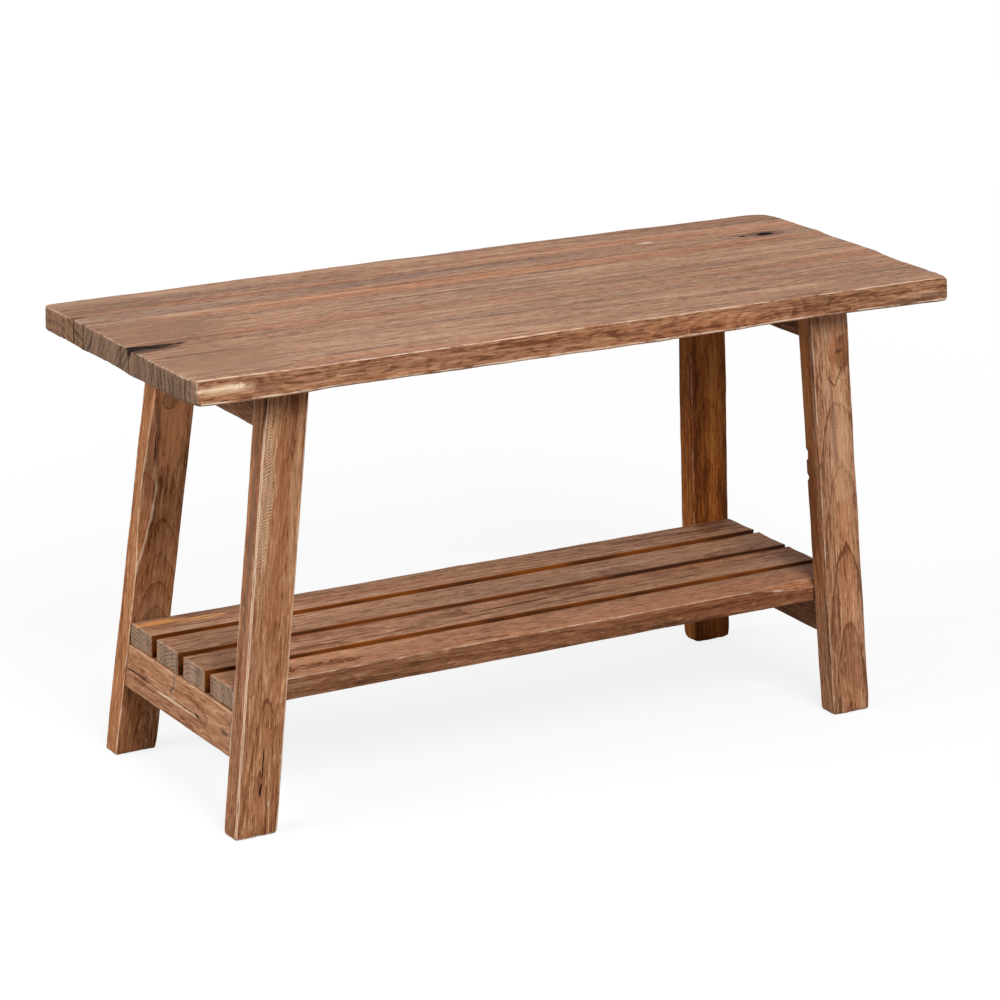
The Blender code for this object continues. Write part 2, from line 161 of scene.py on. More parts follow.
def settle(piece, points, to_arris, on_end, hollow=None):
    """Put the points of a piece in their places and note their wear and their hollow marks, which on the
    slat sides along a gap are painted shade, for its material. No distance to an arris stays at zero,
    because that marks the new rims of a cut."""
    hollow = 0 * on_end if hollow is None else hollow
    piece.data.vertices.foreach_set("co", points.astype(np.float32).ravel())
    piece.data.update()
    for label, values in (("arris", to_arris + NEAREST_ARRIS), ("end_grain", on_end), ("hollow", hollow)):
        layer = piece.data.attributes.new(label, "FLOAT", "POINT")
        layer.data.foreach_set("value", values.astype(np.float32))


def lens(middle, along, deep, size, seed, hollow=1.0):
    """A cutter for a crack, chip or knot hole: a lens of a given length, width and depth that wanders."""
    along = Vector(along).normalized()
    across = Vector(deep).cross(along).normalized()
    deep = along.cross(across)
    bpy.ops.object.select_all(action="DESELECT")
    bpy.ops.mesh.primitive_ico_sphere_add(subdivisions=4, radius=1.0)
    cutter = bpy.context.object
    ball = places(cutter)
    length, width, depth = size
    rough = 1 + 0.13 * drift(ball, (0.7, 0.9, 0.9), seed)
    slimness = min(1.0, max(0.0, length / width - 2) / 8)
    sway = 0.22 * width * slimness * drift(ball * ALONG, (2.0, 1, 1), seed + 1)
    shaped = (
        np.outer(ball[:, 0] * length / 2, along) + np.outer(ball[:, 1] * rough * width / 2 + sway, across)
        + np.outer(ball[:, 2] * rough * depth, deep))
    cutter.data.vertices.foreach_set("co", (shaped + np.array(middle)).astype(np.float32).ravel())
    cutter.data.update()
    return cutter, hollow


def drill(middle, direction, radius, depth, hollow=1.0):
    """A cutter for a round hole, as deep into the wood as it stands out of it."""
    bpy.ops.object.select_all(action="DESELECT")
    bpy.ops.mesh.primitive_cylinder_add(
        vertices=64, radius=radius, depth=2 * depth, location=middle,
        rotation=Vector(direction).to_track_quat("Z", "Y").to_euler())
    bpy.ops.object.transform_apply(location=True, rotation=True, scale=True)
    return bpy.context.object, hollow


FAR_FROM_ARRIS = 0.05
RIM_SHARE = 0.6


def cut_out(piece, cutters):
    """Cut shapes out of a piece, and mark the new faces as hollow."""
    for cutter, hollow in cutters:
        for label, value in (("arris", FAR_FROM_ARRIS), ("end_grain", 0.0), ("hollow", hollow)):
            layer = cutter.data.attributes.new(label, "FLOAT", "POINT")
            layer.data.foreach_set("value", np.full(len(cutter.data.vertices), value, np.float32))
        cut = piece.modifiers.new("cut", "BOOLEAN")
        cut.operation = "DIFFERENCE"
        cut.solver = "MANIFOLD"
        cut.object = cutter
        bpy.context.view_layer.objects.active = piece
        bpy.ops.object.modifier_apply(modifier=cut.name)
        bpy.data.objects.remove(cutter)
        wear = {label: np.empty(len(piece.data.vertices), np.float32) for label in ("arris", "hollow")}
        for label, values in wear.items():
            piece.data.attributes[label].data.foreach_get("value", values)
        rim = wear["arris"] == 0
        wear["arris"][rim] = FAR_FROM_ARRIS
        wear["hollow"][rim] = RIM_SHARE * hollow
        for label, values in wear.items():
            piece.data.attributes[label].data.foreach_set("value", values)


def wane(points, to_arris, size, corner, widths, span, seed):
    """Leave a natural facet across a long arris, which swells and dies out again within a span."""
    share = np.clip((points[:, 0] - span[0]) / (span[1] - span[0]), 0, 1)
    swell = np.sin(math.pi * share) ** 2 * (1 + 0.12 * drift(points * ALONG, (0.06, 1, 1), seed))
    off_side = (size[1] / 2 - corner[0] * points[:, 1]) / widths[0]
    off_face = (size[2] / 2 - corner[1] * points[:, 2]) / widths[1]
    short = swell - off_side - off_face
    cut = np.clip(short, 0, None)
    points[:, 1] -= corner[0] * cut * widths[0] / 2
    points[:, 2] -= corner[1] * cut * widths[1] / 2
    to_arris[:] = np.where(swell > 0.1, np.abs(short) * min(widths), to_arris)


class Recipe:
    """A node tree as it is written: each call adds one node and gives back its output."""

    def __init__(self, tree):
        self.tree = tree

    def add(self, kind, inputs, output=0, **settings):
        """A node with its inlets linked or set. It gives back one outlet, or all of them for None."""
        node = self.tree.nodes.new("ShaderNode" + kind)
        for option, value in settings.items():
            setattr(node, option, value)
        for key, value in inputs.items():
            socket = node.inputs[key]
            if isinstance(value, bpy.types.NodeSocket):
                self.feed(value, socket)
            else:
                socket.default_value = (*value, 1.0) if socket.type == "RGBA" else value
        return node.outputs if output is None else node.outputs[output]

    def feed(self, value, socket):
        self.tree.links.new(value, socket)

    def math(self, operation, first, second=0.0):
        return self.add("Math", {0: first, 1: second}, operation=operation)

    def plus(self, first, second):
        return self.math("ADD", first, second)

    def minus(self, first, second):
        return self.math("SUBTRACT", first, second)

    def times(self, first, second):
        return self.math("MULTIPLY", first, second)

    def over(self, first, second):
        return self.math("DIVIDE", first, second)

    def vector(self, operation, first, second):
        return self.add("VectorMath", {0: first, 1: second}, operation=operation)

    def scaled(self, vector, factors):
        return self.vector("MULTIPLY", vector, factors)

    def length(self, vector):
        return self.add("VectorMath", {0: vector}, 1, operation="LENGTH")

    def noise(self, vector, stretch, seed, detail=2.0, roughness=0.55, output=0):
        return self.add(
            "TexNoise", {"Vector": self.scaled(vector, stretch), "W": seed, "Scale": 1.0, "Detail": detail,
                         "Roughness": roughness}, output, noise_dimensions="4D")

    def rise(self, value, low, high):
        return self.add(
            "MapRange", {"Value": value, "From Min": low, "From Max": high}, interpolation_type="SMOOTHSTEP")

    def mix(self, share, low, high, way="MIX"):
        return self.add("Mix", {0: share, 6: low, 7: high}, 2, data_type="RGBA", blend_type=way)


def shared_effect(name, inputs, outputs):
    """An empty node group with its sockets, as a recipe with its inlets and outlets."""
    group = bpy.data.node_groups.new(name, "ShaderNodeTree")
    for kind, labels in inputs.items():
        for label in labels:
            group.interface.new_socket(name=label, in_out="INPUT", socket_type="NodeSocket" + kind)
    for label in outputs:
        kind = "NodeSocketColor" if label == "Color" else "NodeSocketFloat"
        group.interface.new_socket(name=label, in_out="OUTPUT", socket_type=kind)
    inlets = group.nodes.new("NodeGroupInput").outputs
    return Recipe(group), inlets, group.nodes.new("NodeGroupOutput").inputs


def growth_rings():
    """The rings of the tree: distorted cylinders about a leaning, bowed pith, pushed aside round a knot."""
    inputs = {"Vector": ("Place", "Pith", "Lean", "Knot"),
              "Float": ("Seed", "Bow", "Spacing", "Wander", "Knot Size")}
    r, given, result = shared_effect("growth_rings", inputs, ("Late", "Line", "Core"))
    place, seed = given["Place"], given["Seed"]
    jitter = r.noise(place, (2.6, 17, 17), seed, 2.0, 0.5, output=1)
    jitter = r.vector("SUBTRACT", jitter, (0.5, 0.5, 0.5))
    jitter = r.add("VectorMath", {0: jitter, "Scale": given["Wander"]}, operation="SCALE")
    along = r.add("SeparateXYZ", {0: place})
    leaning = r.add("VectorMath", {0: given["Lean"], "Scale": along}, operation="SCALE")
    bowed = r.add("CombineXYZ", {"Z": r.times(r.times(along, along), given["Bow"])})
    spot = r.vector("ADD", place, jitter)
    for shift in (given["Pith"], leaning, bowed):
        spot = r.vector("SUBTRACT", spot, shift)
    radius = r.length(r.scaled(spot, (0, 1, 1)))
    knot_shape = (0.42, 1, 0.2)
    knot_push = 2.2
    off_knot = r.vector("SUBTRACT", place, given["Knot"])
    off_knot = r.over(r.length(r.scaled(off_knot, knot_shape)), given["Knot Size"])
    swell = r.over(1.0, r.plus(1.0, r.math("POWER", off_knot, 2.0)))
    swell = r.times(swell, r.times(given["Knot Size"], knot_push))
    turns = r.over(r.plus(radius, swell), given["Spacing"])
    sway = r.times(given["Wander"], 150.0)
    turns = r.plus(turns, r.times(r.noise(place, (1.3, 30, 30), seed), sway))
    saw = r.math("FRACT", turns)
    late = r.times(r.rise(saw, 0.25, 0.92), r.rise(saw, 1.0, 0.94))
    year = r.add("TexWhiteNoise", {"W": r.plus(r.math("FLOOR", turns), seed)}, noise_dimensions="1D")
    strength = r.plus(0.25, r.times(year, 0.75))
    line = r.times(r.rise(saw, 0.86, 0.96), r.rise(saw, 1.0, 0.97))
    r.feed(r.times(late, strength), result["Late"])
    r.feed(r.times(line, strength), result["Line"])
    r.feed(r.rise(off_knot, 1.2, 0.7), result["Core"])
    return r.tree


def brushed_fibres():
    """Fibres opened by the wire brush: fine and broad streaks, dark lines, pores and flecks."""
    r, given, result = shared_effect(
        "brushed_fibres", {"Vector": ("Place",), "Float": ("Seed",)},
        ("Fine", "Mottle", "Streak", "Band", "Lines", "Pores", "Flecks"))
    place, seed = given["Place"], given["Seed"]
    for label, stretch, detail, roughness in (
            ("Fine", (30, 620, 620), 3.0, 0.7), ("Mottle", (70, 330, 330), 3.0, 0.7),
            ("Streak", (5.0, 125, 125), 4.0, 0.6), ("Band", (1.2, 26, 26), 2.0, 0.5)):
        r.feed(r.noise(place, stretch, seed, detail, roughness), result[label])
    for label, stretch, low, high in (
            ("Lines", (6.0, 210, 210), 0.62, 0.70), ("Pores", (85, 620, 620), 0.57, 0.66),
            ("Flecks", (110, 430, 430), 0.60, 0.70)):
        r.feed(r.rise(r.noise(place, stretch, seed, 1.0, 0.5), low, high), result[label])
    return r.tree


def worn_arris():
    """Pale wood where the arrises are rubbed: a broken line that follows each arris at a distance."""
    inputs = {"Vector": ("Place",), "Float": ("Seed", "Arris", "Line", "Width", "Cover")}
    r, given, result = shared_effect("worn_arris", inputs, ("Mask",))
    waver = r.noise(given["Place"], (45, 160, 160), given["Seed"], 2.0, 0.6)
    waver = r.times(r.minus(waver, 0.5), r.times(given["Width"], 2.6))
    off_line = r.math("ABSOLUTE", r.minus(r.plus(given["Arris"], waver), given["Line"]))
    line = r.rise(off_line, given["Width"], 0.0)
    broken = r.noise(given["Place"], (32, 60, 60), given["Seed"], 3.0, 0.7)
    broken = r.rise(r.plus(broken, r.times(given["Cover"], 0.3)), 0.55, 0.73)
    r.feed(r.times(line, broken), result["Mask"])
    return r.tree


def old_timber():
    """The surface of brushed, oiled old timber, put together from the rings, fibres and worn arrises."""
    inputs = {
        "Vector": ("Place", "Pith", "Lean", "Knot"),
        "Color": ("Dark", "Mid", "Light", "Worn", "dust_and_top_light", "End Dark", "End Light", "Raw"),
        "Float": (
            "Seed", "Arris", "End", "Hollow", "Up", "Bow", "Spacing", "Wander", "Knot Size", "Rings",
            "Ring Lines", "Streaks", "Bands", "Mottle", "Fines", "Red", "Grey", "Flame", "Flecks",
            "dust_and_top_light_share", "Worn Line", "Worn Width", "Worn Cover", "Worn Share")}
    r, given, result = shared_effect("old_timber", inputs, ("Color", "Roughness", "Height"))
    place, seed = given["Place"], given["Seed"]

    ring_inputs = (
        "Place", "Seed", "Pith", "Lean", "Bow", "Spacing", "Wander", "Knot", "Knot Size")
    rings = r.add("Group", {label: given[label] for label in ring_inputs}, None, node_tree=growth_rings())
    fibres = r.add("Group", {"Place": place, "Seed": seed}, None, node_tree=brushed_fibres())
    wear = r.add("Group", {
        "Place": place, "Seed": seed, "Arris": given["Arris"], "Line": given["Worn Line"],
        "Width": given["Worn Width"], "Cover": given["Worn Cover"]}, None, node_tree=worn_arris())

    def off_middle(value, share):
        return r.times(r.minus(value, 0.5), share)

    flank = r.times(r.rise(r.math("ABSOLUTE", given["Up"]), 0.6, 0.25), given["Flame"])
    flank_calm = 3.2
    line_depth = 0.24
    calm = r.minus(1.0, r.times(flank, flank_calm))
    flame = r.noise(place, (15, 46, 46), r.plus(seed, 7.3), 1.0, 0.5)
    flame = r.math("FRACT", r.times(flame, 8.0))
    flame = r.times(r.rise(flame, 0.1, 0.95), r.rise(flame, 1.0, 0.95))
    tone = r.plus(0.55, off_middle(fibres["Fine"], given["Fines"]))
    tone = r.plus(tone, off_middle(fibres["Mottle"], r.times(given["Mottle"], calm)))
    tone = r.plus(tone, off_middle(fibres["Streak"], given["Streaks"]))
    tone = r.plus(tone, off_middle(fibres["Band"], given["Bands"]))
    for lines, depth in (
            (rings["Late"], given["Rings"]), (rings["Line"], given["Ring Lines"]), (flame, flank),
            (fibres["Pores"], line_depth), (fibres["Lines"], line_depth)):
        tone = r.minus(tone, r.times(lines, depth))
    tone = r.plus(tone, r.times(fibres["Flecks"], given["Flecks"]))
    color = r.mix(r.rise(tone, 0.05, 0.55), given["Dark"], given["Mid"])
    color = r.mix(r.rise(tone, 0.52, 1.0), color, given["Light"])
    # Up faces mix towards a paler colour: on the top boards this is dust with a painted sheen, and on the
    # front slat it is painted light on its top.
    dust_and_top_light_mask = r.times(r.rise(given["Up"], 0.5, 0.95), given["dust_and_top_light_share"])
    dust_and_top_light_mask = r.times(dust_and_top_light_mask, r.rise(fibres["Mottle"], 0.2, 0.8))
    color = r.mix(dust_and_top_light_mask, color, given["dust_and_top_light"])
    for tint, stretch, shift, share in (
            ("Red", (1.2, 44, 44), 3.1, (1.04, 0.79, 0.66)),
            ("Grey", (1.7, 26, 26), 5.7, (0.80, 0.90, 1.02))):
        where = r.rise(r.noise(place, stretch, r.plus(seed, shift), 3.0), 0.48, 0.66)
        color = r.mix(r.times(where, given[tint]), color, share, "MULTIPLY")
    color = r.mix(r.times(rings["Core"], 0.8), color, (0.42, 0.32, 0.26), "MULTIPLY")
    end_tone = r.plus(0.70, off_middle(r.noise(place, (160, 420, 420), seed, 3.0, 0.65), 1.2))
    end_tone = r.minus(end_tone, r.times(rings["Late"], 0.50))
    end_tone = r.plus(end_tone, off_middle(r.noise(place, (20, 75, 9), seed, 2.0), 1.2))
    end_color = r.mix(r.rise(end_tone, 0.0, 1.0), given["End Dark"], given["End Light"])
    color = r.mix(r.rise(given["End"], 0.35, 0.75), color, end_color)
    worn = r.times(wear["Mask"], given["Worn Share"])
    sheltered = r.times(given["End"], 0.5)
    sheltered = r.math("MAXIMUM", sheltered, r.rise(given["Up"], 0.75, 0.97))
    worn = r.times(worn, r.minus(1.0, r.times(sheltered, 0.75)))
    color = r.mix(worn, color, given["Worn"])
    # Faces marked hollow turn raw and then near black: on the slat sides along a gap this is painted shade,
    # and in cracks, holes and board joints it darkens their inside.
    color = r.mix(r.rise(given["Hollow"], 0.0, 0.35), color, given["Raw"])
    color = r.mix(r.rise(given["Hollow"], 0.4, 0.8), color, (0.016, 0.010, 0.008))
    rough = r.plus(0.66, off_middle(fibres["Fine"], 0.25))
    height = r.plus(r.times(rings["Late"], 0.35), r.times(fibres["Fine"], 0.9))
    height = r.minus(height, r.times(fibres["Pores"], 0.5))
    r.feed(color, result["Color"])
    r.feed(rough, result["Roughness"])
    r.feed(height, result["Height"])
    return r.tree


def mark_or_painted_light():
    """A ragged patch of another colour: worn bare, bleached, scorched or soaked into the wood, or painted
    light or shade.
    """
    inputs = {"Vector": ("Place", "Centre", "Size"), "Color": ("Color", "Paint"),
              "Float": ("Seed", "Ragged", "Ripple", "Share")}
    r, given, result = shared_effect("mark_or_painted_light", inputs, ("Color",))
    away = r.vector("SUBTRACT", given["Place"], given["Centre"])
    away = r.length(r.vector("DIVIDE", away, given["Size"]))
    ragged = r.noise(given["Place"], (40, 260, 260), given["Seed"], 4.0, 0.75)
    ragged = r.times(r.minus(ragged, 0.5), given["Ragged"])
    mask = r.times(r.rise(r.plus(away, ragged), 1.1, 0.5), given["Share"])
    saw_marks = (2100.0, -1200.0, 0.0)
    ripple = r.add("VectorMath", {0: given["Place"], 1: saw_marks}, 1, operation="DOT_PRODUCT")
    sway = r.times(r.noise(given["Place"], (50, 90, 90), given["Seed"], 2.0), 22.0)
    ripple = r.rise(r.math("SINE", r.plus(ripple, sway)), -0.2, 0.9)
    ripple = r.times(r.minus(1.0, ripple), given["Ripple"])
    mask = r.times(mask, r.minus(1.0, ripple))
    r.feed(r.mix(mask, given["Color"], given["Paint"]), result["Color"])
    return r.tree


OLD_TIMBER = old_timber()
MARK_OR_PAINTED_LIGHT = mark_or_painted_light()
PLAIN_WOOD = {
    "Worn": (0.70, 0.52, 0.38), "dust_and_top_light": (0.27, 0.19, 0.14), "End Dark": (0.050, 0.028, 0.018),
    "End Light": (0.26, 0.155, 0.098), "Pith": (0, 0.01, -0.07), "Lean": (0, 0.0, 0.06), "Bow": 0.0,
    "Spacing": 0.0042, "Wander": 0.012, "Knot": (9, 9, 9), "Knot Size": 0.004, "Rings": 0.20,
    "Ring Lines": 0.15, "Streaks": 0.9, "Bands": 1.0, "Mottle": 0.8, "Fines": 1.9, "Red": 0.45, "Grey": 0.45,
    "Raw": (0.19, 0.080, 0.036), "Flecks": 0.24, "Flame": 0.0, "dust_and_top_light_share": 0.0,
    "Worn Line": 0.0003, "Worn Width": 0.0012, "Worn Cover": 0.5, "Worn Share": 0.7}


def new_material(name):
    """A material with its recipe and its shader."""
    material = bpy.data.materials.new(name)
    material.use_nodes = True
    return material, Recipe(material.node_tree), material.node_tree.nodes["Principled BSDF"]


def aged_wood(name, middle, axes, seed, stains=(), **values):
    """The material of one piece of timber: its grain runs along the first of the axes. Each patch, a real
    mark or painted light or shade, has a centre, a size along the axes, a colour and a share, and may say
    how ragged and how rippled it is."""
    material, r, shader = new_material(name)
    shader.inputs["Specular IOR Level"].default_value = 0.12
    turn = Matrix(axes).transposed().to_euler()
    spot = r.add("TexCoord", {}, "Object")
    spot = r.add("Mapping", {"Vector": spot, "Location": middle, "Rotation": turn}, vector_type="TEXTURE")
    facing = r.add("NewGeometry", {}, "Normal")
    surface = {"Place": spot, "Seed": float(seed), "Up": r.add("SeparateXYZ", {0: facing}, 2)}
    for label, attribute in (("Arris", "arris"), ("End", "end_grain"), ("Hollow", "hollow")):
        surface[label] = r.add("Attribute", {}, "Fac", attribute_name=attribute)
    wood = r.add("Group", {**PLAIN_WOOD, **values, **surface}, None, node_tree=OLD_TIMBER)
    color = wood["Color"]
    for number, (centre, size, paint, share, *manner) in enumerate(stains):
        color = r.add("Group", {
            "Place": spot, "Seed": float(seed + number), "Size": size, "Paint": paint, "Share": share,
            "Centre": Matrix(axes) @ (Vector(centre) - middle), "Color": color,
            "Ragged": manner[0] if manner else 2.0, "Ripple": manner[1] if manner[1:] else 0.0},
            node_tree=MARK_OR_PAINTED_LIGHT)
    r.feed(color, shader.inputs["Base Color"])
    r.feed(wood["Roughness"], shader.inputs["Roughness"])
    bump = r.add("Bump", {"Height": wood["Height"], "Strength": 0.5, "Distance": 0.0005})
    r.feed(bump, shader.inputs["Normal"])
    return material


def hand_over(piece, node, material):
    """Finish a piece of timber and let it stand for its node of the construction."""
    bpy.ops.object.select_all(action="DESELECT")
    piece.select_set(True)
    bpy.context.view_layer.objects.active = piece
    bpy.ops.object.shade_smooth_by_angle(angle=math.radians(50))
    piece.data.materials.clear()
    piece.data.materials.append(material)
    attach(piece, "root")
    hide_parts(node)


def leg_place(side, row):
    """Where a leg stands, read from its node: its foot, its height and how much it leans in."""
    low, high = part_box(f"leg_{row}_{side}")
    height = high.z - low.z
    foot = Vector((max(abs(low.x), abs(high.x)), max(abs(low.y), abs(high.y))))
    lean = Vector((high.x - low.x - LEG_WIDTH, high.y - low.y - LEG_THICKNESS)) / height
    return foot, lean, height


def leg_axes(side, row, lean):
    """The axes of a leg's timber: up along its grain, across its width, and through it."""
    up = Vector((-SIDES[side] * lean.x, -ROWS[row] * lean.y, 1)).normalized()
    through = up.cross(Vector(ALONG)).normalized()
    return up, through.cross(up), through


PLUG_RADIUS = 0.0081
PLUG_DEPTH = 0.0080
PLUG_FROM_EDGE = 0.0182
plug_low, plug_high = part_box("leg_plug")
plug_foot, plug_lean, _ = leg_place("left", "back")
plug_z = (plug_low.z + plug_high.z) / 2 + PLUG_DEPTH / 2 * plug_lean.y
plug_spot = Vector((
    PLUG_FROM_EDGE - plug_foot.x + plug_lean.x * plug_z, plug_foot.y - plug_lean.y * plug_z - LEG_THICKNESS,
    plug_z))
LEG_COLORS = {"Dark": (0.145, 0.046, 0.016), "Mid": (0.355, 0.148, 0.066), "Light": (0.60, 0.34, 0.18)}
LEG_LOOKS = {
    ("left", "front"): dict(
        seed=11, Pith=(0, 0.004, 0.026), Lean=(0, 0.02, 0.034), Spacing=0.0024, Wander=0.004,
        Worn=(0.74, 0.55, 0.40),
        stains=(
            ((-0.3330, -0.1230, 0.330), (0.105, 0.0085, 0.004), (0.70, 0.46, 0.28), 0.70, 2.4, 0.75),
            ((-0.3025, -0.1230, 0.330), (0.110, 0.0050, 0.004), (0.58, 0.35, 0.19), 0.35, 3.0),
            ((-0.3215, -0.1245, 0.290), (0.120, 0.0090, 0.004), (0.31, 0.112, 0.047), 0.55, 2.0),
            ((-0.3431, -0.1130, 0.300), (0.120, 0.0040, 0.006), (0.15, 0.082, 0.052), 0.55),
            # A short dark line high on the leg is painted shade in a split.
            ((-0.3316, -0.1188, 0.420), (0.034, 0.0022, 0.0030), (0.030, 0.013, 0.006), 1.0, 0.6),
            ((-0.3358, -0.1363, 0.031), (0.0032, 0.0013, 0.002), (0.66, 0.57, 0.51), 0.6)),
        **{"Ring Lines": 0.35, "Worn Line": 0.0014, "Worn Width": 0.0011, "Worn Cover": 0.95,
           "Worn Share": 0.9}),
    ("left", "back"): dict(
        seed=23, Pith=(0, 0.004, 0.034), Lean=(0, -0.01, 0.125), Bow=-0.42, Wander=0.004, Streaks=0.5,
        Bands=0.6, Worn=(0.70, 0.49, 0.33),
        Dark=(0.150, 0.047, 0.015), Mid=(0.385, 0.156, 0.063), Light=(0.60, 0.33, 0.165),
        stains=(
            ((-0.3683, 0.1095, 0.047), (0.012, 0.004, 0.004), (0.60, 0.53, 0.48), 0.6),
            # The bright orange patch high on the inner face is painted light where the top casts its shadow.
            ((-0.3110, 0.0968, 0.385), (0.115, 0.024, 0.010), (0.96, 0.425, 0.195), 0.68, 2.0),
            ((-0.3385, 0.1015, 0.300), (0.085, 0.0075, 0.006), (0.24, 0.098, 0.052), 0.6, 0.8),
            ((-0.3350, 0.1070, 0.150), (0.018, 0.020, 0.003), (0.40, 0.27, 0.18), 0.25, 4.0)),
        **{"Ring Lines": 0.36, "Worn Cover": 0.75, "Worn Share": 0.85}),
    ("right", "front"): dict(
        seed=37, Pith=(0, 0.003, 0.034), Lean=(0, 0.01, 0.075), Spacing=0.0064, Wander=0.003,
        Dark=(0.180, 0.068, 0.028), Mid=(0.475, 0.225, 0.114), Light=(0.70, 0.45, 0.27),
        Knot=(0.165, 0.012, -0.012), Streaks=0.7,
        stains=(
            ((0.3280, -0.1240, 0.290), (0.085, 0.0130, 0.004), (0.74, 0.48, 0.28), 0.65, 1.6, 0.9),
            ((0.3170, -0.1235, 0.310), (0.060, 0.0040, 0.004), (0.22, 0.115, 0.072), 0.55),
            ((0.3195, -0.1203, 0.386), (0.016, 0.011, 0.004), (0.34, 0.130, 0.050), 0.55),
            ((0.3207, -0.1203, 0.3870), (0.0030, 0.0050, 0.003), (0.09, 0.040, 0.020), 0.8),
            # The orange streak on the inner left face is painted bounce light and shade under the top.
            ((0.2985, -0.1080, 0.300), (0.240, 0.0036, 0.011), (0.50, 0.170, 0.030), 0.55, 1.8),
            ((0.3058, -0.1120, 0.215), (0.090, 0.0040, 0.011), (0.110, 0.030, 0.008), 0.62, 2.0),
            ((0.3480, -0.1340, 0.060), (0.050, 0.0080, 0.004), (0.24, 0.098, 0.055), 0.5, 1.6)),
        **{"Ring Lines": 0.4, "Knot Size": 0.008, "Worn Share": 0.8}),
    ("right", "back"): dict(
        seed=41, Pith=(0, 0.0, 0.040), Lean=(0, 0.02, 0.060), Streaks=2.0, Bands=2.4,
        # These deeper, more saturated colours are painted shade: the leg stands in the shade under the top.
        Dark=(0.150, 0.039, 0.008), Mid=(0.385, 0.117, 0.021), Light=(0.58, 0.24, 0.060))}
LEG_FAULTS = {
    ("left", "front"): (
        ((-0.3408, -0.1344, 0.073), (-0.14, 0, -1), BACK, (0.030, 0.0014, 0.003), 3, 0.8),
        ((-0.3446, -0.1356, 0.047), (-0.16, 0, -1), BACK, (0.015, 0.0020, 0.003), 5, 0.8)),
    ("left", "back"): (
        ((-0.3345, 0.0997, 0.313), (0.09, 0.045, 1), BACK, (0.066, 0.0014, 0.003), 6, 0.5),),
    ("right", "front"): (
        ((0.3003, -0.1015, 0.2770), (-0.1, 0, 1), (1, 0.6, 0), (0.013, 0.011, 0.0040), 7, 0.8),
        ((0.3026, -0.1025, 0.2528), (-0.1, 0, 1), (1, 0.6, 0), (0.008, 0.008, 0.0028), 8, 0.8),
        ((0.3121, -0.1217, 0.3564), (8, 0, -12), BACK, (0.015, 0.0018, 0.0014), 9, 0.3),
        ((0.3208, -0.1214, 0.3589), (9, 0, 17), BACK, (0.020, 0.0018, 0.0014), 10, 0.3))}

for side, x_sign in SIDES.items():
    for row, y_sign in ROWS.items():
        foot, lean, height = leg_place(side, row)
        looks = LEG_LOOKS[side, row]
        size = (height, LEG_WIDTH, LEG_THICKNESS)
        piece, points, to_arris, on_end = timber(
            f"worn_leg_{row}_{side}", size, LEG_CELLS, LEG_ARRIS, looks["seed"],
            end_wear=(FOOT_WEAR[side, row], 1.0))
        if (side, row) == ("left", "back"):
            wane(points, to_arris, size, *LEG_WANE, looks["seed"])
        z = points[:, 0] + height / 2
        x = x_sign * (foot.x - lean.x * z - LEG_WIDTH / 2) + points[:, 1]
        y = y_sign * (foot.y - lean.y * z - LEG_THICKNESS / 2) + points[:, 2]
        settle(piece, np.stack([x, y, z], axis=1), to_arris, on_end)
        faults = [lens(*fault) for fault in LEG_FAULTS.get((side, row), ())]
        if (side, row) == ("left", "back"):
            faults.append(drill(plug_spot, (0, 1, lean.y), PLUG_RADIUS + FIT_GAP, PLUG_DEPTH + FIT_GAP))
        cut_out(piece, faults)
        middle = Vector((
            x_sign * (foot.x - lean.x * height / 2 - LEG_WIDTH / 2),
            y_sign * (foot.y - lean.y * height / 2 - LEG_THICKNESS / 2), height / 2))
        axes = leg_axes(side, row, lean)
        wood = aged_wood(f"leg_wood_{row}_{side}", middle, axes, **{**LEG_COLORS, **looks})
        hand_over(piece, f"leg_{row}_{side}", wood)

# Plug
# A round plug of the same wood, cut across a plank and glued into an old bolt hole in the inner face of
# the back left leg. Its grain runs up the leg and dirt has filled the joint round it.
PLUG_CELLS = ((23,), (23,), (5,))
PLUG_SUNK = 0.0002
piece = rough_block("worn_leg_plug", PLUG_CELLS)
share = 2 * places(piece)
disc = share[:, :2] * np.sqrt(1 - share[:, 1::-1] ** 2 / 2)
from_rim = PLUG_RADIUS * (1 - np.linalg.norm(disc, axis=1))
axes = leg_axes("left", "back", plug_lean)
local = np.column_stack([disc * PLUG_RADIUS, (share[:, 2] + 1) / 2 * PLUG_DEPTH + PLUG_SUNK])
settle(piece, local @ np.array(axes) + np.array(plug_spot), from_rim, 0 * from_rim)
plug_wood = aged_wood(
    "plug_wood", plug_spot, axes, 29, Dark=(0.30, 0.115, 0.045), Mid=(0.60, 0.265, 0.117),
    Light=(0.76, 0.42, 0.220), Worn=(0.035, 0.018, 0.011), Rings=0.25,
    **{"Worn Line": 0.0, "Worn Width": 0.0016})
hand_over(piece, "leg_plug", plug_wood)

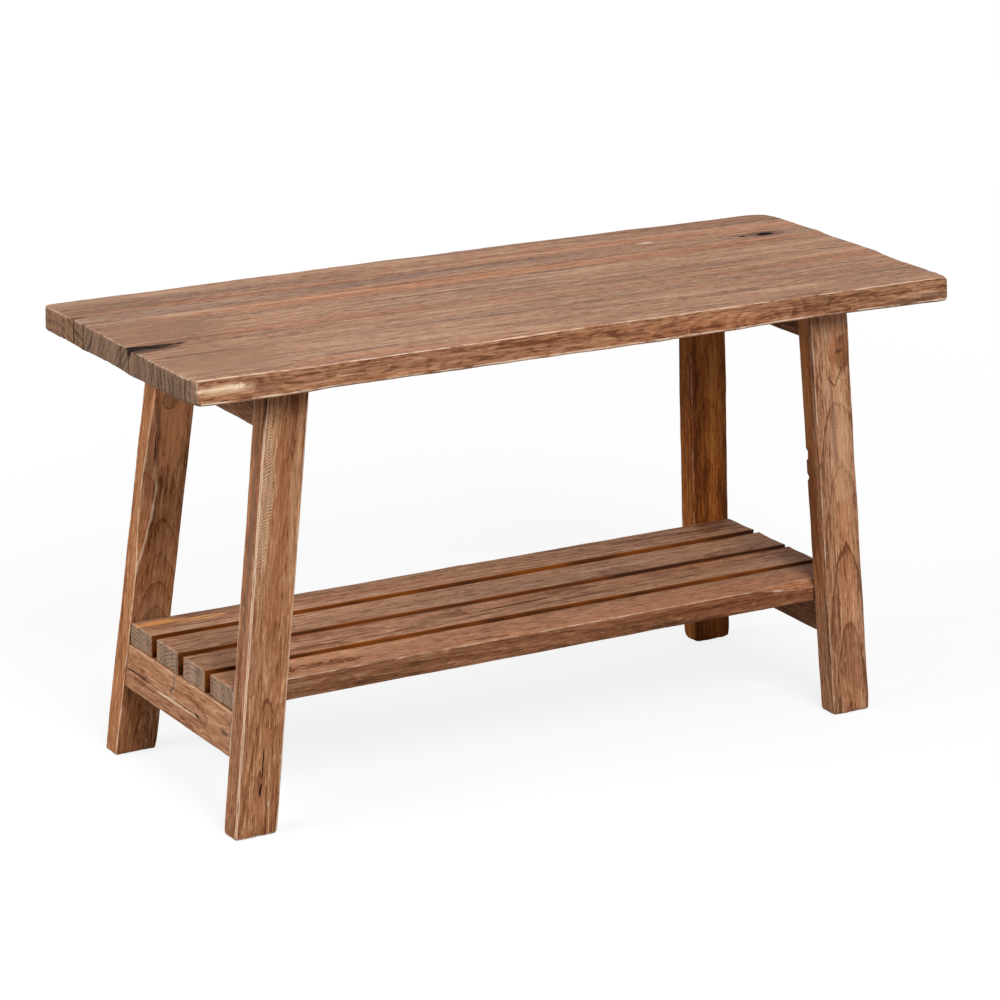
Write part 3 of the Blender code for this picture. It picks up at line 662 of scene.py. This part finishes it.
# Rails
# Two rails at each end, tenoned between the legs: the upper one carries the top and the lower one the
# shelf. They are of the same stock as the legs, and the screws come up through them in sunk holes.
RAIL_CELLS = ((4, 11), (4, 13), (4, 7))
RAIL_ARRIS = 0.0017
RAIL_THICKNESS = 0.0240
COUNTERBORE_RADIUS = 0.0050
SCREW_HEAD = 0.0026
ACROSS_BENCH = (BACK, UP, ALONG)
RAIL_COLORS = {"Dark": (0.155, 0.056, 0.023), "Mid": (0.36, 0.165, 0.082), "Light": (0.54, 0.31, 0.18)}
SHADED_RAIL = {"Dark": (0.095, 0.034, 0.014), "Mid": (0.235, 0.102, 0.049), "Light": (0.38, 0.21, 0.12)}
RAIL_LOOKS = {
    ("upper", "left"): dict(seed=51, **SHADED_RAIL), ("upper", "right"): dict(seed=53, **SHADED_RAIL),
    ("lower", "left"): dict(
        seed=57, stains=(
            ((-0.3618, 0.0092, 0.111), (0.0015, 0.0070, 0.004), (0.060, 0.062, 0.070), 0.85, 1.0),
            ((-0.3628, 0.0135, 0.101), (0.0024, 0.0040, 0.004), (0.060, 0.062, 0.070), 0.85, 1.2),
            ((-0.3625, 0.0060, 0.0915), (0.050, 0.0018, 0.004), (0.66, 0.46, 0.29), 0.8, 3.4),
            ((-0.3625, -0.0980, 0.0935), (0.008, 0.0020, 0.004), (0.045, 0.028, 0.022), 0.7, 4.0),
            ((-0.3625, -0.0930, 0.0965), (0.007, 0.0016, 0.004), (0.055, 0.034, 0.026), 0.65, 4.0))),
    ("lower", "right"): dict(seed=59)}
RAIL_FAULTS = {
    ("lower", "left"): (
        ((-0.3632, 0.083, 0.0942), (0, 1, 0.03), ALONG, (0.060, 0.0013, 0.003), 3, 0.85),
        ((-0.3634, 0.008, 0.0934), (0, 1, 0.0), ALONG, (0.095, 0.0008, 0.002), 5, 0.8),
        ((-0.3634, -0.0405, 0.0925), (0, 1, 0.1), ALONG, (0.011, 0.0034, 0.003), 7))}
for (level, side), looks in RAIL_LOOKS.items():
    node = f"{level}_rail_{side}"
    x_sign = SIDES[side]
    low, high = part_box(node)
    foot, lean, _ = leg_place(side, "front")
    height = high.z - low.z
    level_z = (low.z + high.z) / 2
    half_length = foot.y - lean.y * level_z - LEG_THICKNESS - FIT_GAP
    piece, points, to_arris, on_end = timber(
        f"worn_{node}", (2 * half_length, height, RAIL_THICKNESS), RAIL_CELLS, RAIL_ARRIS, looks["seed"])
    middle_x = (abs(low.x) + abs(high.x)) / 2
    z = level_z + points[:, 1]
    x = x_sign * (middle_x - lean.x * points[:, 1]) + points[:, 2]
    y = points[:, 0] * (1 - lean.y * points[:, 1] / half_length)
    settle(piece, np.stack([x, y, z], axis=1), to_arris, on_end)
    faults = [lens(*fault) for fault in RAIL_FAULTS.get((level, side), ())]
    kind = "top_screw" if level == "upper" else "slat_screw"
    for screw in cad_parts:
        if screw.startswith(f"{kind}_{side}"):
            head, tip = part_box(screw)
            spot = ((head.x + tip.x) / 2, (head.y + tip.y) / 2, low.z)
            faults.append(drill(spot, UP, COUNTERBORE_RADIUS, head.z - low.z + SCREW_HEAD, 0.5))
    cut_out(piece, faults)
    middle = Vector((x_sign * middle_x, 0, level_z))
    wood = aged_wood(f"{node}_wood", middle, ACROSS_BENCH, **{**RAIL_COLORS, **looks})
    hand_over(piece, node, wood)

# Shelf slats
# Four slats laid across the lower rails between the legs and screwed from below, with narrow gaps. Their
# edges follow the timber and their sawn ends have greyed.
SLAT_CELLS = ((9, 15), (4, 13), (4, 6))
SLAT_ARRIS = 0.0019
SLAT_WAVE = 0.0006
SLAT_WANE = ((-1, 1), (0.009, 0.007), (0.20, 0.42))
ALONG_BENCH = (ALONG, BACK, UP)
SLAT_COLORS = {
    "Dark": (0.150, 0.059, 0.027), "Mid": (0.390, 0.198, 0.112), "Light": (0.59, 0.37, 0.235),
    "End Dark": (0.100, 0.058, 0.038), "End Light": (0.37, 0.232, 0.153), "Raw": (0.30, 0.074, 0.006)}
SLAT_LOOKS = {
    1: dict(seed=61, Pith=(0, 0.02, -0.05), Lean=(0, 0.01, 0.02), stains=(
        ((-0.338, 0.0930, 0.1410), (0.032, 0.0062, 0.004), (0.72, 0.32, 0.100), 0.95, 2.4),
        ((-0.292, 0.0880, 0.1410), (0.034, 0.0054, 0.004), (0.78, 0.40, 0.155), 0.95, 2.4),
        ((-0.320, 0.0870, 0.1410), (0.060, 0.0016, 0.004), (0.09, 0.034, 0.014), 0.8))),
    2: dict(seed=67, Pith=(0, -0.02, -0.04), Lean=(0, 0.01, 0.03), stains=(
        ((-0.3600, 0.0088, 0.130), (0.004, 0.0014, 0.015), (0.060, 0.062, 0.070), 0.85, 1.0),)),
    3: dict(seed=71, Pith=(0, 0.01, -0.05), Lean=(0, 0.02, -0.03)),
    4: dict(
        # The front slat is darker, with a bright orange on its up faces: painted shade on its sides and
        # painted light on its top.
        seed=73, Pith=(0, 0.03, -0.02), Lean=(0, 0.03, 0.01), Dark=(0.095, 0.036, 0.015),
        Mid=(0.228, 0.090, 0.041), Light=(0.38, 0.200, 0.106), dust_and_top_light=(0.64, 0.340, 0.196), Flame=0.10,
        stains=(((-0.2475, -0.0870, 0.1410), (0.046, 0.0062, 0.004), (0.15, 0.056, 0.022), 0.75, 4.5),),
        **{"dust_and_top_light_share": 0.75, "Worn Share": 0.85})}
SLAT_FAULTS = {
    3: [((0.0037, -0.0262, 0.141), (80, 6, 0), UP, (0.085, 0.0024, 0.003), 3),
        ((-0.2248, -0.0371, 0.141), (55, -9, 0), UP, (0.058, 0.0013, 0.002), 5)],
    4: [((-0.0720, -0.0977, 0.141), (45, -4, 0), UP, (0.047, 0.0013, 0.002), 7)]}
SLAT_SWELL = {(2, -1): 0.0015, (3, 1): 0.0015, (3, -1): 0.0006, (4, 1): 0.0006}
SWELL_RUN = 0.09
# The sides of the slats along a gap carry painted shade, raw orange and then towards near black: darker
# where a gap is pinched narrow, lower down and towards the right, with a cloudy spread.
GAP_SIDE = 0.0010
GAP_PAINTED_SHADE = 0.62
GAP_PINCH_PAINTED_SHADE = 60.0
GAP_SHADE_CLOUDS = 0.07
GAP_SHADE_FADE_UP = 0.12
GAP_SHADE_GAIN_RIGHT = 0.10
GAP_PAINTED_SHADE_LIMITS = (0.4, 0.7)
WORM_PITS = 48
worm = np.random.default_rng(5)
for _ in range(WORM_PITS):
    pit = (worm.uniform(-0.287, -0.208), worm.uniform(-0.093, -0.081), 0.141)
    run = (1, worm.uniform(-0.2, 0.2), 0)
    SLAT_FAULTS[4].append((pit, run, UP, (worm.uniform(0.002, 0.006), 0.0018, 0.0016), 9, 0.68))
for number, looks in SLAT_LOOKS.items():
    node = f"shelf_slat_{number}"
    low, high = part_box(node)
    size = high - low
    middle = (low + high) / 2
    gap_sides = [sign for sign in (-1, 1) if number - sign in SLAT_LOOKS]
    piece, points, to_arris, on_end = timber(
        f"worn_{node}", size, SLAT_CELLS, SLAT_ARRIS, looks["seed"], gap_sides)
    wave = SLAT_WAVE * (1 + np.clip(0.5 * drift(points * ALONG, (0.30, 1, 1), looks["seed"]), -1, 1))
    points[:, 1] *= 1 - wave / size.y
    for y_sign in gap_sides:
        swell = SLAT_SWELL.get((number, y_sign), 0.0)
        swell *= np.clip((points[:, 0] + size.x / 2) / SWELL_RUN, 0, 1)
        points[:, 1] += y_sign * swell * np.clip(0.5 + y_sign * points[:, 1] / size.y, 0, 1)
    if number == 4:
        wane(points, to_arris, size, *SLAT_WANE, looks["seed"])
    # Painted shade on the slat sides that face a gap, carried in the hollow mark.
    painted_gap_shade = np.zeros(len(points))
    for y_sign in gap_sides:
        on_side = np.clip(2 - (size.y / 2 - y_sign * points[:, 1]) / GAP_SIDE, 0, 1)
        gap_shade = GAP_PAINTED_SHADE + GAP_PINCH_PAINTED_SHADE * SLAT_SWELL.get((number, y_sign), 0.0)
        gap_shade += GAP_SHADE_CLOUDS * drift(points, (0.12, 1, 0.02), number) - GAP_SHADE_FADE_UP * points[:, 2] / size.z
        gap_shade += GAP_SHADE_GAIN_RIGHT * points[:, 0] / size.x
        painted_gap_shade = np.maximum(painted_gap_shade, on_side * np.clip(gap_shade, *GAP_PAINTED_SHADE_LIMITS))
    settle(piece, points + np.array(middle), to_arris, on_end, painted_gap_shade)
    cut_out(piece, [lens(*fault) for fault in SLAT_FAULTS.get(number, ())])
    wood = aged_wood(f"{node}_wood", middle, ALONG_BENCH, **{**SLAT_COLORS, **looks})
    hand_over(piece, node, wood)

# Screws
# Zinc plated steel wood screws with pan heads. They are driven up through sunk holes in the rails, into
# the slats and into the boards of the top.
zinc, r, zinc_shader = new_material("zinc_plating")
zinc_shader.inputs["Metallic"].default_value = 1.0
clouds = r.noise(r.add("TexCoord", {}, "Object"), (900, 900, 900), 1.0, 2.0)
zinc_color = r.mix(r.rise(clouds, 0.3, 0.7), (0.48, 0.47, 0.43), (0.66, 0.64, 0.58))
r.feed(zinc_color, zinc_shader.inputs["Base Color"])
r.feed(r.rise(clouds, 0.0, 1.6), zinc_shader.inputs["Roughness"])
for name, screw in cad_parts.items():
    if "_screw_" in name:
        screw.material_slots[0].material = zinc

# Top boards
# Three boards, edge joined with dowels. The outer edges are left as they grew, the ends are sawn, and the
# corners and arrises are worn round. One joint has opened at the left end and a knot has fallen out.
BOARD_CELLS = {"back": ((9, 16), (9, 11), (4, 3)), "middle": ((9, 16), (9, 12), (4, 3)),
               "front": ((9, 16), (9, 15), (4, 3))}
BOARD_ARRIS = 0.0026
BACK_EDGE = ((-0.4285, 0.1512), (-0.350, 0.1520), (-0.130, 0.1562), (0.070, 0.1580), (0.215, 0.1580),
             (0.393, 0.1566), (0.4285, 0.1560))
FRONT_EDGE_TOP = (
    (-0.4285, -0.1530), (-0.325, -0.1578), (-0.215, -0.1580), (0.055, -0.1546), (0.357, -0.1548),
    (0.4285, -0.1545))
FRONT_EDGE_BELOW = (
    (-0.4285, -0.1570), (-0.395, -0.1580), (-0.318, -0.1576), (-0.285, -0.1550), (-0.048, -0.1574),
    (0.053, -0.1578), (0.171, -0.1566), (0.232, -0.1530), (0.320, -0.1535), (0.365, -0.1560),
    (0.4285, -0.1578))
RIGHT_END = ((-0.158, 0.4300), (-0.130, 0.4300), (-0.076, 0.4282), (-0.005, 0.4285), (0.070, 0.4275),
             (0.126, 0.4266), (0.158, 0.4262))
LEFT_END = ((-0.158, 0.4222), (-0.129, 0.4262), (-0.080, 0.4274), (0.035, 0.4262), (0.090, 0.4264),
            (0.158, 0.4280))
CORNERS = {("back", -1): 0.008, ("back", 1): 0.026, ("front", -1): 0.007, ("front", 1): 0.006}
BOARD_END_WEAR = {"back": (1.6, 1.6), "middle": (1.6, 1.6), "front": (1.6, 2.8)}
LOWER_ARRIS_LINE = 0.0024
JOINT_DIRT = 0.66
JOINT_SIDE = 0.0004
JOINT_RIM = 0.0010
BOARD_COLORS = {"Dark": (0.150, 0.056, 0.024), "Mid": (0.375, 0.176, 0.091), "Light": (0.58, 0.34, 0.20)}
# On the up faces of the boards the grey is a dust film together with a painted sheen of the white surround.
BOARD_GRAIN = {
    "dust_and_top_light": (0.300, 0.222, 0.178), "dust_and_top_light_share": 0.60, "Streaks": 1.8, "Bands": 1.5, "Mottle": 1.4,
    "Fines": 2.0, "Raw": (0.11, 0.058, 0.034), "Red": 0.72, "Grey": 1.0, "Flame": 0.22,
    "End Dark": (0.042, 0.024, 0.016), "End Light": (0.24, 0.142, 0.090), "Worn": (0.80, 0.62, 0.46),
    "Worn Width": 0.0010, "Worn Cover": 0.65, "Worn Share": 0.9}
BOARD_LOOKS = {
    "back": dict(
        seed=81, Pith=(0, 0.05, -0.13), Lean=(0, 0.03, 0.02), Spacing=0.0075, Knot=(0.366, -0.036, 0.0115),
        stains=(
            ((0.233, 0.099, 0.4605), (0.012, 0.0026, 0.004), (0.76, 0.68, 0.62), 0.9, 2.4),
            ((-0.400, 0.115, 0.4605), (0.080, 0.060, 0.006), (0.23, 0.125, 0.076), 0.40, 1.2)),
        **{"End Light": (0.27, 0.142, 0.080), "Knot Size": 0.011, "Ring Lines": 0.35}),
    "middle": dict(
        seed=83, Pith=(0, -0.09, -0.06), Lean=(0, 0.03, 0.01), Spacing=0.0080,
        stains=(
            ((-0.385, 0.020, 0.4605), (0.085, 0.050, 0.006), (0.22, 0.115, 0.068), 0.50, 1.2),
            ((-0.350, -0.022, 0.4605), (0.090, 0.005, 0.004), (0.12, 0.066, 0.044), 0.55))),
    "front": dict(
        seed=89, Pith=(0, 0.14, 0.0), Lean=(0, 0.045, 0.02), Spacing=0.0070, Wander=0.014, Rings=0.05,
        Bands=0.7, stains=(
            ((-0.375, -0.095, 0.4605), (0.085, 0.062, 0.006), (0.22, 0.115, 0.068), 0.50, 1.2),
            ((-0.378, -0.073, 0.4605), (0.050, 0.004, 0.004), (0.10, 0.052, 0.034), 0.60),
            ((-0.397, -0.1570, 0.4497), (0.036, 0.006, 0.0052), (0.66, 0.44, 0.27), 0.65, 1.4),
            ((-0.384, -0.1570, 0.4508), (0.016, 0.006, 0.0030), (0.86, 0.66, 0.47), 0.9, 4.2, 0.3),
            ((-0.405, -0.1570, 0.4500), (0.024, 0.006, 0.0022), (0.78, 0.56, 0.37), 0.75, 4.2, 0.3),
            ((-0.350, -0.1570, 0.4470), (0.016, 0.006, 0.0060), (0.15, 0.070, 0.040), 0.4, 1.6),
            ((0.375, -0.1565, 0.4405), (0.035, 0.006, 0.0030), (0.12, 0.062, 0.040), 0.5),
            ((0.408, -0.1565, 0.4432), (0.022, 0.006, 0.0040), (0.11, 0.050, 0.028), 0.6),
            ((0.400, -0.1060, 0.4605), (0.060, 0.006, 0.004), (0.15, 0.090, 0.066), 0.6),
            ((-0.071, -0.1410, 0.4605), (0.010, 0.003, 0.004), (0.12, 0.06, 0.04), 0.7)),
        **{"Ring Lines": 0.06})}
OPENED_JOINT = ((-0.4290, -0.0312, 0.4610), ALONG, UP, (0.120, 0.0095, 0.0085), 4, 0.9)
SEAM = ((-0.407, 0.0668, 0.4605), ALONG, UP, (0.060, 0.0014, 0.0020), 6, 0.5)
BOARD_FAULTS = {
    "back": (
        ((0.367, 0.0765, 0.4605), (1, 0.06, 0), UP, (0.021, 0.0115, 0.0065), 3),
        ((0.340, 0.0780, 0.4605), (1, 0.1, 0), UP, (0.009, 0.0045, 0.0020), 5, 0.8),
        ((-0.4270, 0.0868, 0.4480), UP, ALONG, (0.034, 0.0017, 0.0045), 8, 0.9),
        ((-0.4235, 0.0905, 0.4609), ALONG, UP, (0.026, 0.0080, 0.0030), 9, 0.35), SEAM),
    "middle": (
        OPENED_JOINT, SEAM,
        ((0.355, -0.0010, 0.4605), (-140, 10, 0), UP, (0.150, 0.0015, 0.0006), 7, 0.3)),
    "front": (OPENED_JOINT, ((-0.4300, -0.0385, 0.4612), ALONG, UP, (0.110, 0.0210, 0.0030), 12, 0.55))}


def natural(along, line):
    """A smooth line through a few points, for an edge that follows the tree."""
    stations, reach = np.array(line).T
    step = np.clip(np.searchsorted(stations, along) - 1, 0, len(stations) - 2)
    share = np.clip((along - stations[step]) / (stations[step + 1] - stations[step]), 0, 1)
    share = share * share * (3 - 2 * share)
    return reach[step] + (reach[step + 1] - reach[step]) * share


for row, looks in BOARD_LOOKS.items():
    node = f"top_board_{row}"
    low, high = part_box(node)
    size = high - low
    middle = (low + high) / 2
    y_sign = {"back": 1, "middle": 0, "front": -1}[row]
    joined = {"back": (-1,), "middle": (-1, 1), "front": (1,)}[row]
    piece, points, to_arris, on_end = timber(
        f"worn_{node}", size, BOARD_CELLS[row], BOARD_ARRIS, looks["seed"], joined, BOARD_END_WEAR[row])
    x = points[:, 0]
    y = points[:, 1] + middle.y
    z = points[:, 2] + middle.z
    edge = None
    if row == "back":
        edge = natural(x, BACK_EDGE)
        y = low.y + (y - low.y) / size.y * (edge - low.y)
    if row == "front":
        height = (z - low.z) / size.z
        edge = natural(x, FRONT_EDGE_BELOW) * (1 - height) + natural(x, FRONT_EDGE_TOP) * height
        y = high.y + (high.y - y) / size.y * (edge - high.y)
    end = np.where(x > 0, natural(y, RIGHT_END), natural(y, LEFT_END))
    x = x * end / (size.x / 2)
    for (corner_row, x_sign), radius in CORNERS.items():
        if corner_row == row:
            a = 1 - (end - x_sign * x) / radius
            b = 1 - y_sign * (edge - y) / radius
            inside = (a > 0) & (b > 0)
            a, b = np.clip(a, 0, 1), np.clip(b, 0, 1)
            x = np.where(inside, x - x_sign * radius * a * (1 - np.sqrt(1 - b * b / 2)), x)
            y = np.where(inside, y - y_sign * radius * b * (1 - np.sqrt(1 - a * a / 2)), y)
    under = np.where(on_end > 0, FAR_FROM_ARRIS, np.abs(to_arris - LOWER_ARRIS_LINE))
    to_arris = np.where(points[:, 2] < 0, under, to_arris)
    in_joint = np.zeros(len(points))
    for side in joined:
        on_side = np.clip(2 - (size.y / 2 - side * points[:, 1]) / JOINT_SIDE, 0, 1)
        on_side *= np.clip((size.z / 2 - points[:, 2]) / JOINT_RIM - 0.6, 0, 1)
        in_joint = np.maximum(in_joint, JOINT_DIRT * on_side)
    settle(piece, np.stack([x, y, z], axis=1), to_arris, on_end, in_joint)
    cut_out(piece, [lens(*fault) for fault in BOARD_FAULTS[row]])
    wood = aged_wood(f"{node}_wood", middle, ALONG_BENCH, **{**BOARD_COLORS, **BOARD_GRAIN, **looks})
    hand_over(piece, node, wood)

# Dowels
# Plain turned dowels of beech, glued in two rows across the joints of the top. They are pale because no
# oil has reached them.
beech = aged_wood(
    "dowel_wood", Vector(), ACROSS_BENCH, 97, Dark=(0.36, 0.24, 0.13),
    Mid=(0.55, 0.42, 0.27), Light=(0.66, 0.53, 0.37), **{"Worn Share": 0.0})
for name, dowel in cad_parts.items():
    if name.startswith("edge_dowel_"):
        dowel.material_slots[0].material = beech

# Studio
# A pale floor that keeps the shadow, a white surround for the camera, soft lamps, and the camera where
# the bench was photographed from.
FLOOR_WIDTH = 30.0
FLOOR_DROP = 0.0004
FLOOR_GLOW = 0.80
WORLD_LIGHT = 0.17
bpy.ops.object.select_all(action="DESELECT")
bpy.ops.mesh.primitive_plane_add(size=FLOOR_WIDTH, location=(0, 0, -FLOOR_DROP))
floor = bpy.context.object
floor.name = "studio_floor"
floor_paint, r, floor_shader = new_material("studio_floor")
floor_shader.inputs["Roughness"].default_value = 0.9
floor_shader.inputs["Specular IOR Level"].default_value = 0.0
seen = r.add("LightPath", {}, "Is Camera Ray")
floor_color = r.mix(seen, (0.40, 0.40, 0.40), (0.85, 0.85, 0.85))
r.feed(floor_color, floor_shader.inputs["Base Color"])
away = r.length(r.add("TexCoord", {}, "Object"))
brightness = r.add(
    "MapRange", {"Value": away, "From Min": 0.7, "From Max": 3.0, "To Min": 1.05, "To Max": 1.2})
glow = r.add("Emission", {"Color": (1, 1, 1), "Strength": brightness})
surface = r.add("MixShader", {0: r.times(seen, FLOOR_GLOW), 1: floor_shader.outputs[0], 2: glow})
surface = r.add("MixShader", {
    0: r.add("NewGeometry", {}, "Backfacing"), 1: surface, 2: r.add("BsdfTransparent", {})})
r.feed(surface, r.tree.nodes["Material Output"].inputs["Surface"])
floor.data.materials.append(floor_paint)

world = bpy.data.worlds.new("studio_world")
bpy.context.scene.world = world
world.use_nodes = True
r = Recipe(world.node_tree)
path = r.add("LightPath", {}, None)
direct = r.math("MAXIMUM", path["Is Camera Ray"], path["Is Glossy Ray"])
direct = r.math("MAXIMUM", direct, path["Is Transmission Ray"])
strength = r.add("MapRange", {"Value": direct, "To Min": WORLD_LIGHT, "To Max": 1.0})
backdrop = world.node_tree.nodes["Background"]
backdrop.inputs["Color"].default_value = (1, 1, 1, 1)
r.feed(strength, backdrop.inputs["Strength"])

LAMPS = {
    "front_softbox": ((-0.5, -3.1, 3.0), 1.9, 140.0), "left_softbox": ((-3.2, 0.1, 2.0), 1.9, 93.0),
    "top_softbox": ((0.2, 0.2, 3.0), 2.2, 11.0)}
aim = Vector((0, 0, 0.25))
for name, (spot, width, power) in LAMPS.items():
    lamp = bpy.data.lights.new(name, "AREA")
    lamp.size = width
    lamp.energy = power
    holder = bpy.data.objects.new(name, lamp)
    holder.location = spot
    holder.rotation_euler = (aim - Vector(spot)).to_track_quat("-Z", "Y").to_euler()
    bpy.context.scene.collection.objects.link(holder)

CAMERA_SPOT = Vector((-1.9437, -3.0730, 1.3933))
CAMERA_YAW, CAMERA_PITCH, CAMERA_ROLL = 0.5638, -0.3062, 0.0244
FOCAL_LENGTH = 137.55
ahead = Vector((
    math.sin(CAMERA_YAW) * math.cos(CAMERA_PITCH), math.cos(CAMERA_YAW) * math.cos(CAMERA_PITCH),
    math.sin(CAMERA_PITCH)))
level = Vector((math.cos(CAMERA_YAW), -math.sin(CAMERA_YAW), 0))
above = level.cross(ahead)
right = level * math.cos(CAMERA_ROLL) + above * math.sin(CAMERA_ROLL)
above = above * math.cos(CAMERA_ROLL) - level * math.sin(CAMERA_ROLL)
camera_data = bpy.data.cameras.new("camera")
camera_data.sensor_width = 36.0
camera_data.lens = FOCAL_LENGTH
camera = bpy.data.objects.new("camera", camera_data)
camera.matrix_world = Matrix.Translation(CAMERA_SPOT) @ Matrix((right, above, -ahead)).transposed().to_4x4()
bpy.context.scene.collection.objects.link(camera)
bpy.context.scene.camera = camera
bpy.context.scene.view_settings.view_transform = "Standard"
